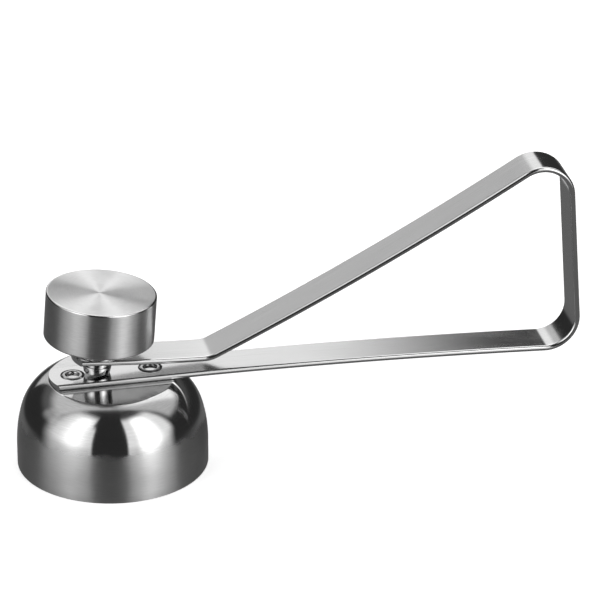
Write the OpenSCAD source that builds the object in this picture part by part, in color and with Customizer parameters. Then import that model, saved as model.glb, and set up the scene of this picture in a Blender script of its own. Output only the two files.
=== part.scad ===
// Eggshell cracker: a bell-shaped cutting cup under a bent spring-strip handle.
// The loose end of the strip carries a solid knob, which springs down as a hammer.
// The cup's axis is Z, its rim lies on z = 0, and the handle runs towards +X.

/* [Cup] */
// Outer diameter of the cup at its rim
cup_d = 40; // [38:0.5:44]
// Height from the rim to the flat top
cup_h = 19.3; // [18:0.1:19.7]
// Wall thickness
cup_wall = 1.2; // [0.8:0.1:1.6]
// Height of the straight cylindrical skirt
skirt_h = 4.7; // [4.1:0.1:5.3]
// Radius of the shallow curve above the skirt
flank_r = 30; // [26:1:36]
// Angle that the shallow curve turns through
flank_turn = 14; // [12:1:16]
// Radius of the shoulder under the flat top
shoulder_r = 11; // [10.5:0.1:11.5]
// Width of the ground bevel inside the rim
rim_bevel = 0.5; // [0.3:0.1:0.7]

/* [Strip] */
// Width of the spring strip
strip_w = 9; // [7:0.5:11]
// Thickness of the spring strip
strip_t = 1.2; // [1:0.1:1.4]
// Radius that each end of the strip is cropped to
end_r = 7.5; // [6:0.1:9]

/* [Handle] */
// Flat run from the lower end of the strip to the start of the lower arm
pad_run = 26.2; // [25:0.2:28]
// Length of the lower arm from the pad to its flexing point
lower_front_run = 57; // [50:1:62]
// Length of the lower arm from its flexing point to the rear bend
lower_rear_run = 22.2; // [18:0.2:26]
// Angle that the whole lower arm bows through
lower_bow = 3.1; // [2:0.1:5]
// Centreline radius of the two rear bends
rear_r = 6.6; // [5:0.1:8]
// Angle of the lower rear bend
heel_turn = 96.6; // [94:0.1:99]
// Straight run of the upright rear leg
leg_run = 28.3; // [27:0.1:30]
// Angle of the upper rear bend
crown_turn = 117.1; // [115.5:0.1:118]
// Length of the upper arm from the rear bend to its flexing point
upper_rear_run = 27; // [22:1:32]
// Length of the upper arm from its flexing point to the front bend
upper_front_run = 47.4; // [44:0.1:49]
// Angle that the whole upper arm bows through
upper_bow = 6; // [5:0.1:6.5]
// Centreline radius of the front bend
front_r = 6; // [4:0.5:9]
// Angle of the front bend
front_turn = 26.5; // [25.5:0.1:27]
// Length of the gentle curve from the front bend towards the knob
front_bow_run = 14.7; // [12:0.1:16]
// Angle that the gentle curve turns through
front_bow = 2.4; // [2:0.1:3.2]
// Straight run under the knob, to the upper end of the strip
tip_run = 12.5; // [11:0.1:14]

/* [Knob] */
// Diameter of the solid knob
knob_d = 23; // [18:0.5:26]
// Height of the knob
knob_h = 10.1; // [8:0.1:14]
// Bevel on the knob's upper and lower edges
knob_bevel = 0.35; // [0.2:0.05:1]
// Distance from the upper end of the strip to the knob's axis
knob_inset = 5.5; // [5:0.1:6.5]
// Diameter of the collar under the knob
collar_d = 9.6; // [8:0.2:10]
// Height of the collar
collar_h = 3.6; // [3:0.1:6]
// Diameter of the stud that ties the knob to the strip
stud_d = 3; // [2.5:0.1:3.2]
// Length of stud inside the knob
stud_grip = 6.5; // [4:0.5:7]

/* [Striker] */
// Diameter of the striker's upper ring
striker_ring_d = 5.8; // [5.4:0.1:6.4]
// Height of the striker's upper ring
striker_ring_h = 1.1; // [0.8:0.1:1.3]
// Diameter of the groove under the ring
striker_groove_d = 5; // [4.8:0.1:5.3]
// Height of the groove
striker_groove_h = 0.3; // [0.2:0.05:0.4]
// Diameter of the striker's lower body
striker_body_d = 6; // [5.4:0.1:6.4]
// Gap left between the striker and the lower arm at rest
striker_gap = 0.25; // [0.2:0.05:0.6]

/* [Rivets] */
// Distance between the two rivets
rivet_pitch = 16.4; // [15:0.2:17.6]
// Diameter of the rivet shank
rivet_d = 3; // [2.6:0.1:3.2]
// Diameter of the rivet heads
rivet_head_d = 4.8; // [4.2:0.1:5]
// Diameter of the blind hole in each rivet
rivet_bore_d = 2.2; // [1.6:0.1:2.4]

/* [Hidden] */
cup_r = cup_d / 2;
steel = "silver";
play = 0.05;
$fn = 96;

// Cup profile: the centres of its two arcs, and the point where they meet.
flank_c = [cup_r - flank_r, skirt_h];
meet = flank_c + flank_r * [cos(flank_turn), sin(flank_turn)];
shoulder_c = meet - shoulder_r * [cos(flank_turn), sin(flank_turn)];

// Strip centreline: a pose is [x, z, heading], a run is [length, turn].
strip_z = cup_h + strip_t / 2;
pad_tip = [-rivet_pitch / 2 - 5, strip_z, 0];
lower_run = lower_front_run + lower_rear_run;
upper_run = upper_rear_run + upper_front_run;
lower_runs = [[pad_run, 0], [lower_front_run, -lower_bow * lower_front_run / lower_run]];
bow_runs = [
    [lower_rear_run, -lower_bow * lower_rear_run / lower_run],
    [arc_length(rear_r, heel_turn), heel_turn],
    [leg_run, 0],
    [arc_length(rear_r, crown_turn), crown_turn],
    [upper_rear_run, -upper_bow * upper_rear_run / upper_run]
];
upper_runs = [
    [upper_front_run, -upper_bow * upper_front_run / upper_run],
    [arc_length(front_r, front_turn), -front_turn],
    [front_bow_run, -front_bow],
    [tip_run, 0]
];
lower_flex = after(pad_tip, lower_runs, len(lower_runs));
upper_flex = after(lower_flex, bow_runs, len(bow_runs));
upper_tip = after(upper_flex, upper_runs, len(upper_runs));
knob_pose = [
    upper_tip[0] - knob_inset * cos(upper_tip[2]),
    upper_tip[1] - knob_inset * sin(upper_tip[2]),
    upper_tip[2]
];

// The striker reaches down to the lower arm, which it meets at the edge nearest the handle.
knob_lean = 180 - upper_tip[2];
striker_h = (knob_pose[1] - strip_z - strip_t / 2 - striker_gap) / cos(knob_lean)
    - strip_t / 2 - striker_body_d / 2 * tan(knob_lean);
striker_tip_d = 5.5;
rivet_head_h = 0.55;
rivet_recess = 0.4;
tongue_d = strip_t - 0.04;

function arc_length(radius, turn) = radius * turn * PI / 180;

// Points along an arc, without its first one.
function arc_points(centre, radius, from, to, steps) =
    [for (i = [1 : steps]) let (a = from + (to - from) * i / steps) centre + radius * [cos(a), sin(a)]];
function backwards(points) = [for (i = [len(points) - 1 : -1 : 0]) points[i]];

// Half outline of the bell, from the skirt to the axis, drawn in by the inset.
function bell(inset) = concat(
    [[cup_r - inset, skirt_h]],
    arc_points(flank_c, flank_r - inset, 0, flank_turn, 6),
    arc_points(
        shoulder_c, shoulder_r - inset, flank_turn,
        asin((cup_h - inset - shoulder_c[1]) / (shoulder_r - inset)), 16
    ),
    [[0, cup_h - inset]]
);

// Pose after one run: a circular arc if the run turns, else a straight line.
function advance(pose, run) = run[1] == 0
    ? [pose[0] + run[0] * cos(pose[2]), pose[1] + run[0] * sin(pose[2]), pose[2]]
    : let (radius = run[0] / (run[1] * PI / 180))
        [
            pose[0] + radius * (sin(pose[2] + run[1]) - sin(pose[2])),
            pose[1] - radius * (cos(pose[2] + run[1]) - cos(pose[2])),
            pose[2] + run[1]
        ];
function after(pose, runs, count) =
    count == 0 ? pose : advance(after(pose, runs, count - 1), runs[count - 1]);

// Poses along a chain of runs, close enough together for its arcs to look round.
function run_steps(run) = run[1] == 0 ? 1 : 2 + ceil(abs(run[1]) / 4);
function poses_along(pose, runs) = concat(
    [pose],
    [
        for (i = [0 : len(runs) - 1])
            for (j = [1 : run_steps(runs[i])])
                advance(after(pose, runs, i), runs[i] * j / run_steps(runs[i]))
    ]
);
function beside(poses, offset) =
    [for (p = poses) [p[0] - offset * sin(p[2]), p[1] + offset * cos(p[2])]];

// Puts its children at a pose, with their +X along the heading.
module at_pose(pose) {
    translate([pose[0], 0, pose[1]])
        rotate([0, -pose[2], 0])
            children();
}

// The strip along a chain of runs, as an extruded side view.
module strip_path(pose, runs) {
    poses = poses_along(pose, runs);
    rotate([90, 0, 0])
        linear_extrude(height = strip_w, center = true)
            polygon(concat(beside(poses, -strip_t / 2), backwards(beside(poses, strip_t / 2))));
}

// What is cropped off an end of the strip whose tip is at the origin and points along +X.
module end_waste() {
    translate([-end_r, 0, 0])
        difference() {
            translate([1, -strip_w, -strip_t * 2])
                cube([end_r * 2, strip_w * 2, strip_t * 4]);
            cylinder(r = end_r, h = strip_t * 6, center = true);
        }
}

// A round tongue across the strip's centreline, and the socket that it turns in.
module knuckle_tongue() {
    rotate([90, 0, 0])
        cylinder(d = tongue_d, h = strip_w, center = true);
}

module knuckle_socket() {
    rotate([90, 0, 0])
        cylinder(d = tongue_d + play * 2, h = strip_w + 2, center = true);
}

// Places children at each rivet, at the height of the cup's flat top.
module at_rivet(side) {
    translate([side * rivet_pitch / 2, 0, cup_h])
        children();
}

// Local frame of the knob: origin on the strip's centreline, +Z away from the cup.
module at_knob() {
    at_pose(knob_pose)
        rotate([180, 0, 0])
            children();
}

module cup() {
    inner_r = cup_r - cup_wall;
    color(steel)
        difference() {
            rotate_extrude($fn = 128)
                polygon(concat(
                    [[inner_r + rim_bevel, 0], [cup_r, 0]],
                    bell(0),
                    backwards(bell(cup_wall)),
                    [[inner_r, rim_bevel]]
                ));
            for (side = [-1, 1])
                at_rivet(side)
                    cylinder(d = rivet_d + play * 2, h = cup_wall * 4, center = true);
        }
}

module rivet(side) {
    color("gray")
        at_rivet(side)
            difference() {
                union() {
                    translate([0, 0, strip_t - rivet_recess])
                        cylinder(d = rivet_head_d, h = rivet_head_h);
                    translate([0, 0, -cup_wall])
                        cylinder(d = rivet_d, h = cup_wall + strip_t - rivet_recess);
                    translate([0, 0, -cup_wall - rivet_head_h])
                        cylinder(d = rivet_head_d, h = rivet_head_h);
                }
                cylinder(d = rivet_bore_d, h = strip_t * 2);
            }
}

module handle_lower_arm() {
    color(steel)
        difference() {
            strip_path(pad_tip, lower_runs);
            at_pose([pad_tip[0], pad_tip[1], 180])
                end_waste();
            at_pose(lower_flex)
                knuckle_socket();
            for (side = [-1, 1])
                at_rivet(side) {
                    cylinder(d = rivet_d + play * 2, h = strip_t * 4, center = true);
                    translate([0, 0, strip_t - rivet_recess])
                        cylinder(d = rivet_head_d + play * 4, h = strip_t);
                }
        }
}

module handle_bow() {
    color(steel)
        difference() {
            union() {
                strip_path(lower_flex, bow_runs);
                at_pose(lower_flex)
                    knuckle_tongue();
            }
            at_pose(upper_flex)
                knuckle_socket();
        }
}

module handle_upper_arm() {
    color(steel)
        difference() {
            union() {
                strip_path(upper_flex, upper_runs);
                at_pose(upper_flex)
                    knuckle_tongue();
            }
            at_pose(upper_tip)
                end_waste();
            at_knob()
                cylinder(d = stud_d + play * 2, h = strip_t * 4, center = true);
        }
}

module knob_collar() {
    color("gray")
        at_knob()
            translate([0, 0, strip_t / 2])
                difference() {
                    cylinder(d = collar_d, h = collar_h);
                    translate([0, 0, -1])
                        cylinder(d = stud_d + play * 2, h = collar_h + 2);
                }
}

module knob() {
    color(steel)
        at_knob()
            translate([0, 0, strip_t / 2 + collar_h])
                difference() {
                    union() {
                        cylinder(d1 = knob_d - knob_bevel * 2, d2 = knob_d, h = knob_bevel);
                        translate([0, 0, knob_bevel])
                            cylinder(d = knob_d, h = knob_h - knob_bevel * 2);
                        translate([0, 0, knob_h - knob_bevel])
                            cylinder(d1 = knob_d, d2 = knob_d - knob_bevel * 2, h = knob_bevel);
                    }
                    translate([0, 0, -1])
                        cylinder(d = stud_d, h = stud_grip + 1.5);
                }
}

module knob_stud() {
    reach = strip_t / 2 + striker_h * 0.75;
    color("gray")
        at_knob()
            translate([0, 0, -reach])
                cylinder(d = stud_d, h = reach + strip_t / 2 + collar_h + stud_grip);
}

module striker() {
    body_h = striker_h - striker_ring_h - striker_groove_h;
    cone_h = body_h * 0.8;
    color("gray")
        at_knob()
            translate([0, 0, -strip_t / 2 - striker_h])
                difference() {
                    union() {
                        cylinder(d1 = striker_tip_d, d2 = striker_body_d, h = cone_h);
                        translate([0, 0, cone_h])
                            cylinder(d = striker_body_d, h = body_h - cone_h);
                        translate([0, 0, cone_h])
                            cylinder(d = striker_groove_d, h = striker_h - cone_h);
                        translate([0, 0, striker_h - striker_ring_h])
                            cylinder(d = striker_ring_d, h = striker_ring_h);
                    }
                    translate([0, 0, striker_h * 0.25])
                        cylinder(d = stud_d, h = striker_h);
                }
}

cup();
handle_lower_arm();
handle_bow();
handle_upper_arm();
rivet(-1);  // front_rivet
rivet(1);  // rear_rivet
knob();
knob_collar();
knob_stud();
striker();
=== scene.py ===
# Egg topper: a polished bell cup on a bent spring strip, with a solid turned knob as its hammer.
import bpy
import bmesh
import math
from mathutils import Matrix, Vector


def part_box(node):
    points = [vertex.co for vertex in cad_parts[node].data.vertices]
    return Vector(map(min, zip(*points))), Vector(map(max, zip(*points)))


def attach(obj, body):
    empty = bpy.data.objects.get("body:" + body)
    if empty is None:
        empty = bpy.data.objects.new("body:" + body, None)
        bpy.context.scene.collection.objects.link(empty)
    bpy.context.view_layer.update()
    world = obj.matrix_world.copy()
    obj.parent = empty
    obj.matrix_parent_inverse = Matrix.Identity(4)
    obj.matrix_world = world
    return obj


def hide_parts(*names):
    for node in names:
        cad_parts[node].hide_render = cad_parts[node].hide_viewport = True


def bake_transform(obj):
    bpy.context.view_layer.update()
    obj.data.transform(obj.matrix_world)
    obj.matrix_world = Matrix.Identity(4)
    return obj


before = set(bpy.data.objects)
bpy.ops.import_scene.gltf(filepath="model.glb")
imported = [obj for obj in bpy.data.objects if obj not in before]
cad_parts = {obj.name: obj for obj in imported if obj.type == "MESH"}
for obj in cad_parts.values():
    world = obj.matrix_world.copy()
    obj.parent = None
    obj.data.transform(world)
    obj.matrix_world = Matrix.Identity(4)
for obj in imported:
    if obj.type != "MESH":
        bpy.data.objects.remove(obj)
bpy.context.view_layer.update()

MM = 0.001
HEAD, BOW, HAMMER = "cup_and_lower_arm", "bow", "hammer"

# ---------------------------------------------------------------- sizes, in millimetres

STRIP_W, STRIP_T = 9.0, 1.2
END_R, END_BREAK = 7.5, 0.1   # radius that the ends are cropped to, and how far their sharp edges are eased
PAD_TIP = (-13.2, 19.9, 0.0)
LEG_RUN = 28.3
REAR_R, FRONT_R = 6.6, 6.0
CUP_R, CUP_H, CUP_WALL, SKIRT_H = 20.0, 19.3, 1.2, 4.7
FLANK_R, FLANK_TURN, SHOULDER_R = 30.0, 14.0, 11.0
POLISH_LINE = 10.7         # height where the polished dome meets the brushed skirt
KNOB_D, KNOB_H, KNOB_INSET = 23.0, 10.1, 5.5
COLLAR_D, COLLAR_H = 9.6, 3.6
RIVET_PITCH, RIVET_HEAD_D, RIVET_BORE_D = 16.4, 4.8, 2.6
RECESS_GAP, RECESS_H = 0.15, 0.4   # room round a rivet's head, and how deep it sits in the strip
STRIKER_RING_R, STRIKER_GROOVE_R, STRIKER_BODY_R, STRIKER_TIP_R = 2.9, 2.5, 3.0, 2.75
STRIKER_RING_H, STRIKER_GROOVE_H = 1.1, 0.3
CREASE = 30.0              # edges that turn by more than this, in degrees, stay crisp


def arc(radius, turn):
    return (radius * math.radians(abs(turn)), turn)


LOWER_RUNS = [(26.2, 0.0), (79.2, -3.1), arc(REAR_R, 96.6), (LEG_RUN / 2, 0.0)]
UPPER_RUNS = [
    (LEG_RUN / 2, 0.0), arc(REAR_R, 117.1), (74.4, -6.0), arc(FRONT_R, -26.5), (14.7, -2.4), (12.5, 0.0)
]


# ---------------------------------------------------------------- the strip's centreline

def advance(pose, length, turn):
    """The pose (x, z, heading) after a run of that length, which turns through that angle in degrees."""
    x, z, heading = pose
    h0, h1 = math.radians(heading), math.radians(heading + turn)
    if turn == 0:
        return (x + length * math.cos(h0), z + length * math.sin(h0), heading)
    radius = length / math.radians(turn)
    return (
        x + radius * (math.sin(h1) - math.sin(h0)),
        z - radius * (math.cos(h1) - math.cos(h0)),
        heading + turn,
    )


def walk(pose, runs):
    for length, turn in runs:
        pose = advance(pose, length, turn)
    return pose


def stations(pose, runs, step=2.5, step_turn=3.0):
    """Poses along the runs, close enough for smooth bends, each as (distance, pose)."""
    out, done = [(0.0, pose)], 0.0
    for length, turn in runs:
        count = max(1, math.ceil(length / step), math.ceil(abs(turn) / step_turn))
        for i in range(1, count + 1):
            out.append((done + length * i / count, advance(pose, length * i / count, turn * i / count)))
        pose, done = out[-1][1], done + length
    return out


def place(pose, y, n):
    """A point beside the centreline: y across the strip, n towards the inside of the loop."""
    x, z, heading = pose
    h = math.radians(heading)
    return Vector((x - n * math.sin(h), y, z + n * math.cos(h))) * MM


LEG_MIDDLE = walk(PAD_TIP, LOWER_RUNS)
UPPER_TIP = walk(LEG_MIDDLE, UPPER_RUNS)


# ---------------------------------------------------------------- mesh helpers

def link(name, mesh):
    obj = bpy.data.objects.new(name, mesh)
    bpy.context.scene.collection.objects.link(obj)
    return obj


def mark_sharp(bm, sharp):
    for edge in bm.edges:
        edge.smooth = edge.calc_face_angle(0.0) < math.radians(sharp)


def finish_mesh(bm, name, sharp=CREASE):
    """Makes a smooth-shaded object, with edges over that angle kept crisp."""
    bmesh.ops.remove_doubles(bm, verts=bm.verts, dist=1e-7)
    bmesh.ops.recalc_face_normals(bm, faces=bm.faces)
    for face in bm.faces:
        face.smooth = True
    mark_sharp(bm, sharp)
    mesh = bpy.data.meshes.new(name)
    bm.to_mesh(mesh)
    bm.free()
    return link(name, mesh)


def lathe(name, outline, frame_matrix=None, segments=160, sharp=CREASE):
    """Spins an outline of (radius, height) in millimetres round its own Z, then puts it in place."""
    bm = bmesh.new()
    rings = []
    for r, z in outline:
        if r < 1e-6:
            rings.append([bm.verts.new((0, 0, z * MM))])
            continue
        turns = (2 * math.pi * i / segments for i in range(segments))
        rings.append([bm.verts.new((r * MM * math.cos(t), r * MM * math.sin(t), z * MM)) for t in turns])
    for a, b in zip(rings, rings[1:]):
        for i in range(segments):
            j = (i + 1) % segments
            corners = [a[i % len(a)], a[j % len(a)], b[j % len(b)], b[i % len(b)]]
            corners = list(dict.fromkeys(corners))
            if len(corners) > 2:
                bm.faces.new(corners)
    if frame_matrix is not None:
        bm.transform(frame_matrix)
    return finish_mesh(bm, name, sharp)


def arc_points(centre, radius, start, end, count):
    """Points on an arc, its first one left out, with angles in degrees."""
    turns = (math.radians(start + (end - start) * i / count) for i in range(1, count + 1))
    return [(centre[0] + radius * math.cos(t), centre[1] + radius * math.sin(t)) for t in turns]


def rounded(points, radius, count=4):
    """Rounds every inner corner of an open outline with a short curve that starts that far from it."""
    out = [points[0]]
    for before, corner, after in zip(points, points[1:], points[2:]):
        corner = Vector(corner)
        a, b = Vector(before) - corner, Vector(after) - corner
        a = corner + a.normalized() * min(radius, a.length * 0.45)
        b = corner + b.normalized() * min(radius, b.length * 0.45)
        for i in range(count + 1):
            t = i / count
            out.append(tuple(a * (1 - t) ** 2 + corner * 2 * t * (1 - t) + b * t ** 2))
    return out + [points[-1]]


# ---------------------------------------------------------------- the strip

def edge_levels(count=8):
    """The strip's round edge from its inner to its outer face: (inset from the side, height, crop inset)."""
    half = STRIP_T / 2
    top = [(half + 0.12, half, END_BREAK + 0.12)]
    for i in range(count + 1):
        a = math.radians(90 * i / count)
        depth = min(half * (1 - math.cos(a)), END_BREAK)
        eased = END_BREAK - math.sqrt(END_BREAK ** 2 - (END_BREAK - depth) ** 2)
        top.append((half * (1 - math.sin(a)), half - half * (1 - math.cos(a)), eased))
    return top + [(inset, -n, crop) for inset, n, crop in reversed(top[:-1])]


def end_outline(inset, crop, count=16):
    """Half outline of a cropped end, from the side to the tip: (distance from the tip, y)."""
    half, radius = STRIP_W / 2 - inset, END_R - crop
    across = [half * (1 - i / count) for i in range(count + 1)]
    return [(END_R - math.sqrt(radius ** 2 - y ** 2), y) for y in across]


def strip_mesh(name, pose, runs, tip_first):
    """One half of the strip. Its cropped tip is at its start or its end, and the other end is cut square."""
    levels = edge_levels()
    side_start = end_outline(0, 0)[0][0] + 0.3
    spots = stations(pose, runs)
    total = spots[-1][0]
    if tip_first:
        keep = [(side_start, advance(pose, side_start, 0))] + [s for s in spots if s[0] > side_start + 0.5]
    else:
        tip = spots[-1][1]
        keep = [s for s in spots if s[0] < total - side_start - 0.5]
        keep.append((total - side_start, advance(tip, -side_start, 0)))
    bm = bmesh.new()
    uv = bm.loops.layers.uv.new("strip")
    flat = {}

    def vertex(s, at, y, n):
        v = bm.verts.new(place(at, y, n))
        flat[v] = (y * MM, s * MM)
        return v

    rings = []
    for s, at in keep:
        left = [vertex(s, at, STRIP_W / 2 - inset, n) for inset, n, crop in levels]
        right = [vertex(s, at, inset - STRIP_W / 2, n) for inset, n, crop in reversed(levels)]
        rings.append(left + right)
    for a, b in zip(rings, rings[1:]):
        for i in range(len(a)):
            j = (i + 1) % len(a)
            bm.faces.new((a[i], a[j], b[j], b[i]))
    cropped, square = (rings[0], rings[-1]) if tip_first else (rings[-1], rings[0])
    bm.faces.new(square)

    tip_pose, outward = (pose, -1) if tip_first else (spots[-1][1], 1)
    tip_s = 0.0 if tip_first else total
    loops = []
    for k, (inset, n, crop) in enumerate(levels):
        half = end_outline(inset, crop)
        line = half + [(d, -y) for d, y in reversed(half[:-1])]
        middle = [vertex(tip_s - outward * d, advance(tip_pose, -outward * d, 0), y, n) for d, y in line]
        loops.append([cropped[k]] + middle + [cropped[-1 - k]])
    for a, b in zip(loops, loops[1:]):
        for i in range(len(a) - 1):
            bm.faces.new((a[i], a[i + 1], b[i + 1], b[i]))
    bm.faces.new(loops[0])
    bm.faces.new(loops[-1])
    for face in bm.faces:
        for loop in face.loops:
            loop[uv].uv = flat[loop.vert]
    return finish_mesh(bm, name)


def drill(obj, cutters):
    """Cuts the cutters out of obj and removes them."""
    for cutter in cutters:
        cut = obj.modifiers.new("cut", "BOOLEAN")
        cut.operation, cut.solver, cut.object = "DIFFERENCE", "EXACT", cutter
    shaped = bpy.data.meshes.new_from_object(obj.evaluated_get(bpy.context.evaluated_depsgraph_get()))
    obj.modifiers.clear()
    obj.data = shaped
    bm = bmesh.new()
    bm.from_mesh(shaped)
    mark_sharp(bm, CREASE)
    bm.to_mesh(shaped)
    bm.free()
    for loop, uv in zip(shaped.loops, shaped.uv_layers["strip"].data):
        if uv.uv.length < 1e-9:
            uv.uv = shaped.vertices[loop.vertex_index].co.yx
    for cutter in cutters:
        bpy.data.objects.remove(cutter)


# ---------------------------------------------------------------- material helpers

def new_material(name):
    material = bpy.data.materials.new(name)
    material.use_nodes = True
    tree = material.node_tree
    return material, tree, tree.nodes["Principled BSDF"]


def node(tree, kind, inputs=None, **settings):
    made = tree.nodes.new(kind)
    for key, value in settings.items():
        setattr(made, key, value)
    for key, value in (inputs or {}).items():
        if isinstance(value, bpy.types.NodeSocket):
            tree.links.new(value, made.inputs[key])
        else:
            made.inputs[key].default_value = value
    return made


def math_node(tree, operation, a, b=0.0, c=0.0):
    return node(tree, "ShaderNodeMath", {0: a, 1: b, 2: c}, operation=operation).outputs[0]


def vector_node(tree, operation, a, b):
    return node(tree, "ShaderNodeVectorMath", {0: a, 1: b}, operation=operation)


def noise(tree, vector, scale, detail=3.0, roughness=0.5):
    inputs = {"Vector": vector, "Scale": scale, "Detail": detail, "Roughness": roughness}
    return node(tree, "ShaderNodeTexNoise", inputs).outputs["Fac"]


def stretched(tree, vector, scale):
    return node(tree, "ShaderNodeMapping", {"Vector": vector, "Scale": scale}).outputs["Vector"]


def spread(tree, value, low, high):
    """Maps a noise value of about 0.3 to 0.7 onto low to high."""
    inputs = {"Value": value, "From Min": 0.3, "From Max": 0.7, "To Min": low, "To Max": high}
    return node(tree, "ShaderNodeMapRange", inputs).outputs["Result"]


def bump(tree, height, strength, distance):
    inputs = {"Height": height, "Strength": strength, "Distance": distance}
    return node(tree, "ShaderNodeBump", inputs).outputs["Normal"]


def grey(value):
    return (value, value, value, 1.0)


def shaded_grey(tree, value, low, high):
    """A neutral steel colour that varies between two greys with a noise value."""
    level = spread(tree, value, low, high)
    return node(tree, "ShaderNodeCombineColor", {0: level, 1: level, 2: level}).outputs[0]


def position(tree):
    return node(tree, "ShaderNodeTexCoord").outputs["Object"]


def turned_coordinates(tree, centre, axis):
    """Coordinates round an axis: (turn in radians, radius, height), in metres."""
    local = vector_node(tree, "SUBTRACT", position(tree), centre).outputs[0]
    height = vector_node(tree, "DOT_PRODUCT", local, axis).outputs["Value"]
    parts = node(tree, "ShaderNodeSeparateXYZ", {0: local})
    turn = math_node(tree, "ARCTAN2", parts.outputs["Y"], parts.outputs["X"])
    distance_2 = vector_node(tree, "DOT_PRODUCT", local, local).outputs["Value"]
    height_2 = math_node(tree, "MULTIPLY", height, height)
    radius_2 = math_node(tree, "MAXIMUM", math_node(tree, "SUBTRACT", distance_2, height_2), 0.0)
    radius = math_node(tree, "SQRT", radius_2)
    return node(tree, "ShaderNodeCombineXYZ", {0: turn, 1: radius, 2: height}).outputs[0]


def brush_round(tree, shader, stretch):
    """Metal whose brushing runs round its axis, so that its highlights stretch across the lines."""
    tangent = node(tree, "ShaderNodeTangent", direction_type="RADIAL", axis="Z")
    tree.links.new(tangent.outputs[0], shader.inputs["Tangent"])
    shader.inputs["Metallic"].default_value = 1.0
    shader.inputs["Anisotropic"].default_value = stretch
    shader.inputs["Anisotropic Rotation"].default_value = 0.25


# ---------------------------------------------------------------- materials

def mirror_steel(name, level=0.6, rough=0.1):
    """Buffed stainless steel, with faint haze and hairline scuffs."""
    material, tree, shader = new_material(name)
    where = position(tree)
    haze = noise(tree, where, 160.0, 4.0, 0.6)
    scuffs = noise(tree, stretched(tree, where, (300.0, 300.0, 3200.0)), 1.0, 2.0)
    tree.links.new(shaded_grey(tree, haze, level - 0.03, level + 0.03), shader.inputs["Base Color"])
    tree.links.new(spread(tree, haze, rough * 0.75, rough * 1.3), shader.inputs["Roughness"])
    tree.links.new(bump(tree, scuffs, 0.05, 0.00002), shader.inputs["Normal"])
    shader.inputs["Metallic"].default_value = 1.0
    return material


def brushed_round(name, centre, axis, level=0.5, rough=0.3, stretch=0.75, along="height"):
    """Steel brushed or turned round an axis, with fine lines that run round it."""
    material, tree, shader = new_material(name)
    turned = turned_coordinates(tree, centre, axis)
    scale = (6.0, 200.0, 9000.0) if along == "height" else (4.0, 9000.0, 200.0)
    lines = noise(tree, stretched(tree, turned, scale), 1.0, 3.0, 0.6)
    cloud = noise(tree, position(tree), 220.0, 3.0)
    tree.links.new(shaded_grey(tree, lines, level - 0.05, level + 0.05), shader.inputs["Base Color"])
    tree.links.new(spread(tree, cloud, rough * 0.85, rough * 1.15), shader.inputs["Roughness"])
    tree.links.new(bump(tree, lines, 0.12, 0.00003), shader.inputs["Normal"])
    brush_round(tree, shader, stretch)
    return material


def bell_steel(name, level=0.58):
    """The bell's steel, satin-brushed round its skirt and buffed above, with an uneven line between."""
    material, tree, shader = new_material(name)
    turned = turned_coordinates(tree, (0, 0, 0), (0, 0, 1))
    lines = noise(tree, stretched(tree, turned, (6.0, 200.0, 9000.0)), 1.0, 3.0, 0.6)
    cloud = noise(tree, position(tree), 220.0, 3.0)
    ragged = spread(tree, noise(tree, stretched(tree, turned, (5.0, 0.0, 300.0)), 1.0, 3.0), -0.0006, 0.0006)
    height = node(tree, "ShaderNodeSeparateXYZ", {0: turned}).outputs["Z"]
    line = {
        "Value": math_node(tree, "ADD", height, ragged),
        "From Min": (POLISH_LINE - 1.0) * MM,
        "From Max": (POLISH_LINE + 0.7) * MM,
    }
    buffed = node(tree, "ShaderNodeMapRange", line, interpolation_type="SMOOTHSTEP").outputs["Result"]
    finish = {"Value": buffed, "To Min": 0.38, "To Max": 0.11}
    even = node(tree, "ShaderNodeMapRange", finish).outputs["Result"]
    rough = math_node(tree, "MULTIPLY", even, spread(tree, cloud, 0.9, 1.1))
    relief = math_node(tree, "MULTIPLY", lines, math_node(tree, "MULTIPLY_ADD", buffed, -0.8, 1.0))
    tree.links.new(shaded_grey(tree, lines, level - 0.04, level + 0.04), shader.inputs["Base Color"])
    tree.links.new(rough, shader.inputs["Roughness"])
    tree.links.new(bump(tree, relief, 0.12, 0.00003), shader.inputs["Normal"])
    brush_round(tree, shader, 0.95)
    return material


def brushed_strip(name, level=0.6, rough=0.14):
    """Cold-rolled spring strip, with fine lines along its length."""
    material, tree, shader = new_material(name)
    where = node(tree, "ShaderNodeUVMap", uv_map="strip").outputs[0]
    lines = noise(tree, stretched(tree, where, (9000.0, 60.0, 1.0)), 1.0, 3.0, 0.6)
    cloud = noise(tree, stretched(tree, where, (250.0, 60.0, 1.0)), 1.0, 3.0)
    tree.links.new(shaded_grey(tree, lines, level - 0.04, level + 0.04), shader.inputs["Base Color"])
    tree.links.new(spread(tree, cloud, rough * 0.85, rough * 1.15), shader.inputs["Roughness"])
    tree.links.new(bump(tree, lines, 0.1, 0.00003), shader.inputs["Normal"])
    tangent = node(tree, "ShaderNodeTangent", direction_type="UV_MAP", uv_map="strip")
    tree.links.new(tangent.outputs[0], shader.inputs["Tangent"])
    shader.inputs["Metallic"].default_value = 1.0
    shader.inputs["Anisotropic"].default_value = 0.4
    return material


# ---------------------------------------------------------------- pieces

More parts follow.
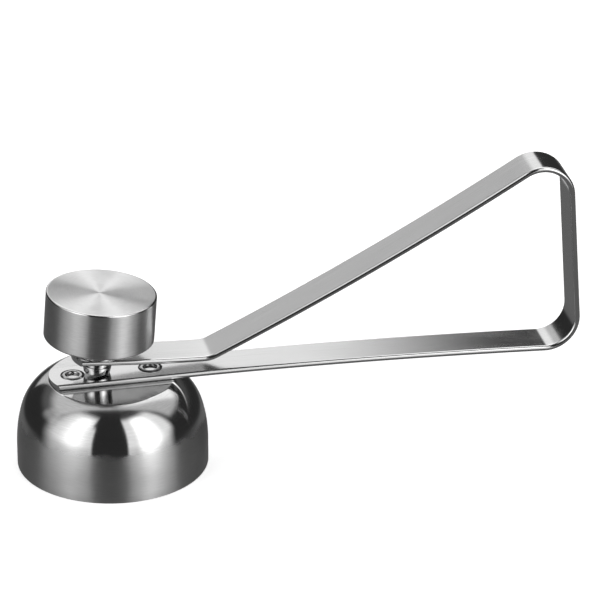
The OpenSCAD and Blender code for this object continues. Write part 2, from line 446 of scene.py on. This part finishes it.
def make_strip(steel):
    """The handle, as two halves that meet in the middle of the rear leg."""
    lower = strip_mesh("spring_strip_lower_half", PAD_TIP, LOWER_RUNS, True)
    upper = strip_mesh("spring_strip_upper_half", LEG_MIDDLE, UPPER_RUNS, False)
    recess_r = RIVET_HEAD_D / 2 + RECESS_GAP
    cutters = []
    for side in (-1, 1):
        at = Matrix.Translation(Vector((side * RIVET_PITCH / 2, 0, CUP_H + STRIP_T - RECESS_H)) * MM)
        cutters.append(lathe("recess", [(0, 0), (recess_r, 0), (recess_r, 2), (0, 2)], at, 64))
    drill(lower, cutters)
    for half in (lower, upper):
        half.data.materials.clear()
        half.data.materials.append(steel)
    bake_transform(lower)
    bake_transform(upper)
    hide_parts("handle_lower_arm", "handle_bow")
    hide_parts("handle_upper_arm")


def bell_points(inset):
    """The bell's curve from the top of its skirt to the edge of its flat top, drawn in by the inset."""
    flank_c = (CUP_R - FLANK_R, SKIRT_H)
    meet = arc_points(flank_c, FLANK_R, 0, FLANK_TURN, 1)[0]
    lean = math.radians(FLANK_TURN)
    shoulder_c = (meet[0] - SHOULDER_R * math.cos(lean), meet[1] - SHOULDER_R * math.sin(lean))
    top = math.degrees(math.asin((CUP_H - inset - shoulder_c[1]) / (SHOULDER_R - inset)))
    flank = arc_points(flank_c, FLANK_R - inset, 0, FLANK_TURN, 28)
    shoulder = arc_points(shoulder_c, SHOULDER_R - inset, FLANK_TURN, top, 30)
    return [(CUP_R - inset, SKIRT_H)] + flank + shoulder


def bell_radius(z):
    """The bell's outer radius at a height."""
    curve = [(CUP_R, -1.0)] + bell_points(0)
    for (r0, z0), (r1, z1) in zip(curve, curve[1:]):
        if z0 <= z <= z1:
            return r0 + (r1 - r0) * (z - z0) / (z1 - z0)
    return 0.0


def make_cup(bell, inside):
    outer, inner = bell_points(0), bell_points(CUP_WALL)
    top = rounded([outer[-2], outer[-1], (0, CUP_H)], 0.35, 5)
    inner_r = CUP_R - CUP_WALL
    rim = rounded([(inner_r, 2), (inner_r, 0.5), (inner_r + 0.5, 0), (CUP_R, 0), (CUP_R, 2)], 0.12, 3)
    outline = [(0, CUP_H - CUP_WALL)] + inner[::-1] + rim + outer[:-1] + top[1:]
    cup = lathe("bell_cup", outline, segments=256)
    for material in (bell, inside):
        cup.data.materials.append(material)
    middle = CUP_WALL / 2
    for face in cup.data.polygons:
        c = face.center / MM
        if math.hypot(c.x, c.y) < bell_radius(c.z) - middle and c.z < CUP_H - middle:
            face.material_index = 1
    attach(cup, HEAD)
    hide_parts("cup")


def knob_frame(height):
    """A frame on the knob's axis, that far above the strip's centreline."""
    back = advance(UPPER_TIP, -KNOB_INSET, 0)
    lean = math.radians(180 - UPPER_TIP[2])
    foot = Vector((back[0], 0, back[1])) * MM
    return Matrix.Translation(foot) @ Matrix.Rotation(lean, 4, "Y") @ Matrix.Translation((0, 0, height * MM))


def make_knob(side, top, edge):
    r, h, bevel = KNOB_D / 2, KNOB_H, 0.35
    outline = [(0, 0), (r - 1.2, 0), (r - bevel, 0)] + arc_points((r - bevel, bevel), bevel, -90, 0, 6)
    outline += [(r, bevel + 0.5), (r, h - bevel - 0.5), (r, h - bevel)]
    outline += arc_points((r - bevel, h - bevel), bevel, 0, 90, 8) + [(r - 1.2, h), (0, h)]
    at = knob_frame(STRIP_T / 2 + COLLAR_H)
    knob = lathe("turned_knob", outline, at, 256)
    for material in (side, top, edge):
        knob.data.materials.append(material)
    axis = (at.to_3x3() @ Vector((0, 0, 1))).normalized()
    for face in knob.data.polygons:
        facing = abs(face.normal.dot(axis))
        if facing < 0.02:
            face.material_index = 0
        elif facing > 0.999:
            face.material_index = 1
        else:
            face.material_index = 2
    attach(knob, HAMMER)
    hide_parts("knob")


def make_collar(steel):
    r, h = COLLAR_D / 2, COLLAR_H
    outline = rounded([(0, 0), (r, 0), (r, h), (0, h)], 0.3, 4)
    collar = lathe("polished_collar", outline, knob_frame(STRIP_T / 2), 96)
    collar.data.materials.append(steel)
    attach(collar, HAMMER)
    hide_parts("knob_collar")


def make_striker(steel):
    low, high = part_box("striker")
    lean = math.radians(180 - UPPER_TIP[2])
    span = (high.z - low.z) / MM
    height = (span - (STRIKER_RING_R + STRIKER_TIP_R) * math.sin(lean)) / math.cos(lean)
    ring_z = height - STRIKER_RING_H
    body_h = ring_z - STRIKER_GROOVE_H
    outline = [
        (0, 0), (STRIKER_TIP_R, 0), (STRIKER_BODY_R, body_h * 0.8), (STRIKER_BODY_R, body_h),
        (STRIKER_GROOVE_R, body_h), (STRIKER_GROOVE_R, ring_z), (STRIKER_RING_R, ring_z),
        (STRIKER_RING_R, height), (0, height),
    ]
    striker = lathe("striker_tip", rounded(outline, 0.16, 4), knob_frame(-STRIP_T / 2 - height), 96)
    striker.data.materials.append(steel)
    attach(striker, HAMMER)
    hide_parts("striker")


def make_rivets(steel):
    """Tubular rivets: a rolled head round a blind hole above, and a formed head inside the cup."""
    head, bore, shank = RIVET_HEAD_D / 2, RIVET_BORE_D / 2, 1.5
    top, seat, under = STRIP_T + 0.15, STRIP_T - RECESS_H, -CUP_WALL
    outline = [
        (0, -0.1), (bore - 0.2, 0.1), (bore, top - 0.25), (bore + 0.2, top), (head - 0.35, top - 0.02),
        (head, top - 0.25), (head, seat), (shank, seat), (shank, under), (head, under),
        (head, under - 0.25), (head - 0.4, under - 0.55), (0, under - 0.55),
    ]
    for name, side in (("front_rivet", -1), ("rear_rivet", 1)):
        at = Matrix.Translation(Vector((side * RIVET_PITCH / 2, 0, CUP_H)) * MM)
        rivet = lathe("rolled_" + name, rounded(outline, 0.14, 4), at, 96)
        rivet.data.materials.append(steel)
        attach(rivet, HEAD)
        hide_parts(name)


# ---------------------------------------------------------------- studio

CAMERA_TURN, CAMERA_RISE = -12.6, 26.05
CAMERA_TARGET = Vector((0.04016, 0, 0.03266))
CAMERA_DISTANCE, CAMERA_LENS = 1.0, 288.0


def make_camera():
    a, e = math.radians(CAMERA_TURN), math.radians(CAMERA_RISE)
    back = Vector((math.sin(a) * math.cos(e), -math.cos(a) * math.cos(e), math.sin(e)))
    data = bpy.data.cameras.new("camera")
    data.lens, data.sensor_width = CAMERA_LENS, 36.0
    data.clip_start, data.clip_end = 0.05, 20.0
    camera = link("camera", data)
    camera.location = CAMERA_TARGET + back * CAMERA_DISTANCE
    camera.rotation_mode = "QUATERNION"
    camera.rotation_quaternion = (-back).to_track_quat("-Z", "Y")
    bpy.context.scene.camera = camera


def make_floor():
    """A pale floor, left out of reflections, so that the steel shows only the softboxes and the studio."""
    bm = bmesh.new()
    bmesh.ops.create_grid(bm, x_segments=4, y_segments=4, size=6.0)
    floor = finish_mesh(bm, "floor")
    material, tree, shader = new_material("pale_floor")
    shader.inputs["Base Color"].default_value = grey(0.9)
    shader.inputs["Roughness"].default_value = 0.9
    shader.inputs["Emission Color"].default_value = grey(1.0)
    shader.inputs["Emission Strength"].default_value = 0.45
    floor.data.materials.append(material)
    floor.visible_glossy = False
    floor.visible_shadow = False


def band(tree, value, low, high):
    """1 between two edges, each given as (middle, softness), falling smoothly to 0 over the softness."""
    rise = {"Value": value, "From Min": low[0] - low[1], "From Max": low[0] + low[1]}
    fall = {"Value": value, "From Min": high[0] - high[1], "From Max": high[0] + high[1]}
    fall.update({"To Min": 1.0, "To Max": 0.0})
    up = node(tree, "ShaderNodeMapRange", rise, interpolation_type="SMOOTHSTEP").outputs["Result"]
    down = node(tree, "ShaderNodeMapRange", fall, interpolation_type="SMOOTHSTEP").outputs["Result"]
    return math_node(tree, "MULTIPLY", up, down)


FRONT, REAR = "front", "rear"

# Softboxes and pale surfaces round the object. Turns are in degrees and grow to the right for a viewer at
# the camera's bearing: FRONT ones from the camera's side, REAR ones from the far side. Every edge is
# (angle, softness), as (measure, left edge, right edge, low edge, high edge, brightness).
STUDIO = [
    (FRONT, (-82, 13), (-23, 2), (-13, 2), (44, 6), 0.7),
    (FRONT, (-84, 14), (-23, 2), (1, 9), (44, 6), 0.4),
    (FRONT, (-84, 14), (-29, 3), (44, 6), (65, 8), 1.15),
    (FRONT, (-60, 13), (-36, 12), (-3, 9), (62, 10), 1.1),
    (FRONT, (21, 2), (77, 8), (-13, 2), (12, 10), 0.75),
    (FRONT, (21, 2), (77, 8), (0, 9), (12, 10), 0.45),
    (FRONT, (21, 2), (83, 5), (12, 10), (63, 6), 1.2),
    (FRONT, (38, 8), (60, 12), (-5, 8), (58, 10), 2.2),
    (FRONT, (-107, 5), (-84, 4), (20, 5), (38, 5), 0.3),
    (FRONT, (-150, 8), (-89, 5), (24, 6), (38, 7), 0.1),
    (FRONT, (-155, 6), (-89, 5), (38, 7), (100, 1), 0.75),
    (FRONT, (91, 5), (150, 6), (31, 5), (100, 1), 0.65),
    (FRONT, (128, 5), (156, 3), (34, 5), (76, 8), 0.8),
    (REAR, (-31, 1), (3.2, 2), (4, 2), (76, 8), 0.68),
    (REAR, (-15, 5), (3.2, 2), (4, 2), (70, 8), 0.5),
    (REAR, (-28, 5), (26, 4), (37, 4), (72, 8), 0.75),
    (REAR, (4, 2), (25, 4), (35, 4), (76, 8), 1.1),
    (REAR, (-31, 1), (25, 6), (80, 8), (100, 1), 0.65),
    (REAR, (-14, 4), (7, 3), (-42, 6), (-12, 3), 0.5),
]
AMBIENT, UNDER = 0.033, 0.12   # the studio's own dark walls, and the light from below the horizon


def make_world():
    """A dark studio with softboxes at set turns and rises round the object."""
    world = bpy.data.worlds.new("studio")
    world.use_nodes = True
    tree = world.node_tree
    tree.nodes.clear()
    direction = node(tree, "ShaderNodeTexCoord").outputs["Generated"]
    unit = node(tree, "ShaderNodeVectorMath", {0: direction}, operation="NORMALIZE").outputs[0]
    bearing = Matrix.Rotation(math.radians(-CAMERA_TURN), 4, "Z").to_euler()
    turned = node(tree, "ShaderNodeMapping", {"Vector": unit, "Rotation": bearing}).outputs["Vector"]
    parts = node(tree, "ShaderNodeSeparateXYZ", {0: turned})
    x, y, z = (parts.outputs[i] for i in range(3))
    nearer = math_node(tree, "MULTIPLY", y, -1.0)
    turns = {
        FRONT: math_node(tree, "DEGREES", math_node(tree, "ARCTAN2", x, nearer)),
        REAR: math_node(tree, "DEGREES", math_node(tree, "ARCTAN2", x, y)),
    }
    rise = math_node(tree, "DEGREES", math_node(tree, "ARCSINE", z))
    total = math_node(tree, "MULTIPLY_ADD", band(tree, rise, (-200, 1), (-13, 4)), UNDER, AMBIENT)
    for measure, left, right, low, high, bright in STUDIO:
        across, upward = band(tree, turns[measure], left, right), band(tree, rise, low, high)
        shape = math_node(tree, "MULTIPLY", across, upward)
        total = math_node(tree, "MULTIPLY_ADD", shape, bright, total)
    seen = node(tree, "ShaderNodeLightPath").outputs["Is Camera Ray"]
    level = node(tree, "ShaderNodeMix", {"Factor": seen, "A": total, "B": 1.0}, data_type="FLOAT").outputs[0]
    background = node(tree, "ShaderNodeBackground", {"Color": grey(1.0), "Strength": level})
    output = node(tree, "ShaderNodeOutputWorld")
    tree.links.new(background.outputs[0], output.inputs["Surface"])
    bpy.context.scene.world = world
    bpy.context.scene.view_settings.view_transform = "Standard"


# ---------------------------------------------------------------- build

knob_top = knob_frame(STRIP_T / 2 + COLLAR_H + KNOB_H)
knob_axis = (knob_top.to_3x3() @ Vector((0, 0, 1))).normalized()
up_axis = (0, 0, 1)

make_camera()
make_floor()
make_world()
make_strip(brushed_strip("brushed_spring_strip"))
make_cup(
    bell_steel("buffed_bell"),
    brushed_round("brushed_cup_inside", (0, 0, 0), up_axis, 0.45, 0.4, 0.4),
)
make_knob(
    brushed_round("turned_knob_side", knob_top.translation, knob_axis, 0.6, 0.38, 0.95),
    # The top's steel is painted lighter (0.66) than the side's (0.6): painted light, standing in for the
    # light that falls on the flat top from above.
    brushed_round("turned_knob_top_painted_light", knob_top.translation, knob_axis, 0.66, 0.38, 0.95, along="radius"),
    mirror_steel("turned_knob_edge"),
)
make_collar(mirror_steel("polished_collar_steel"))
make_striker(mirror_steel("polished_striker_steel"))
# The rivets' steel is given a darker colour (0.38) than the other polished steel (0.6): painted shade,
# darkening them where they sit under the upper arm and the knob.
make_rivets(mirror_steel("rivet_steel_painted_shade", 0.38, 0.14))
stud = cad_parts["knob_stud"]
stud.data.materials.clear()
stud.data.materials.append(mirror_steel("stud_steel", 0.45, 0.3))
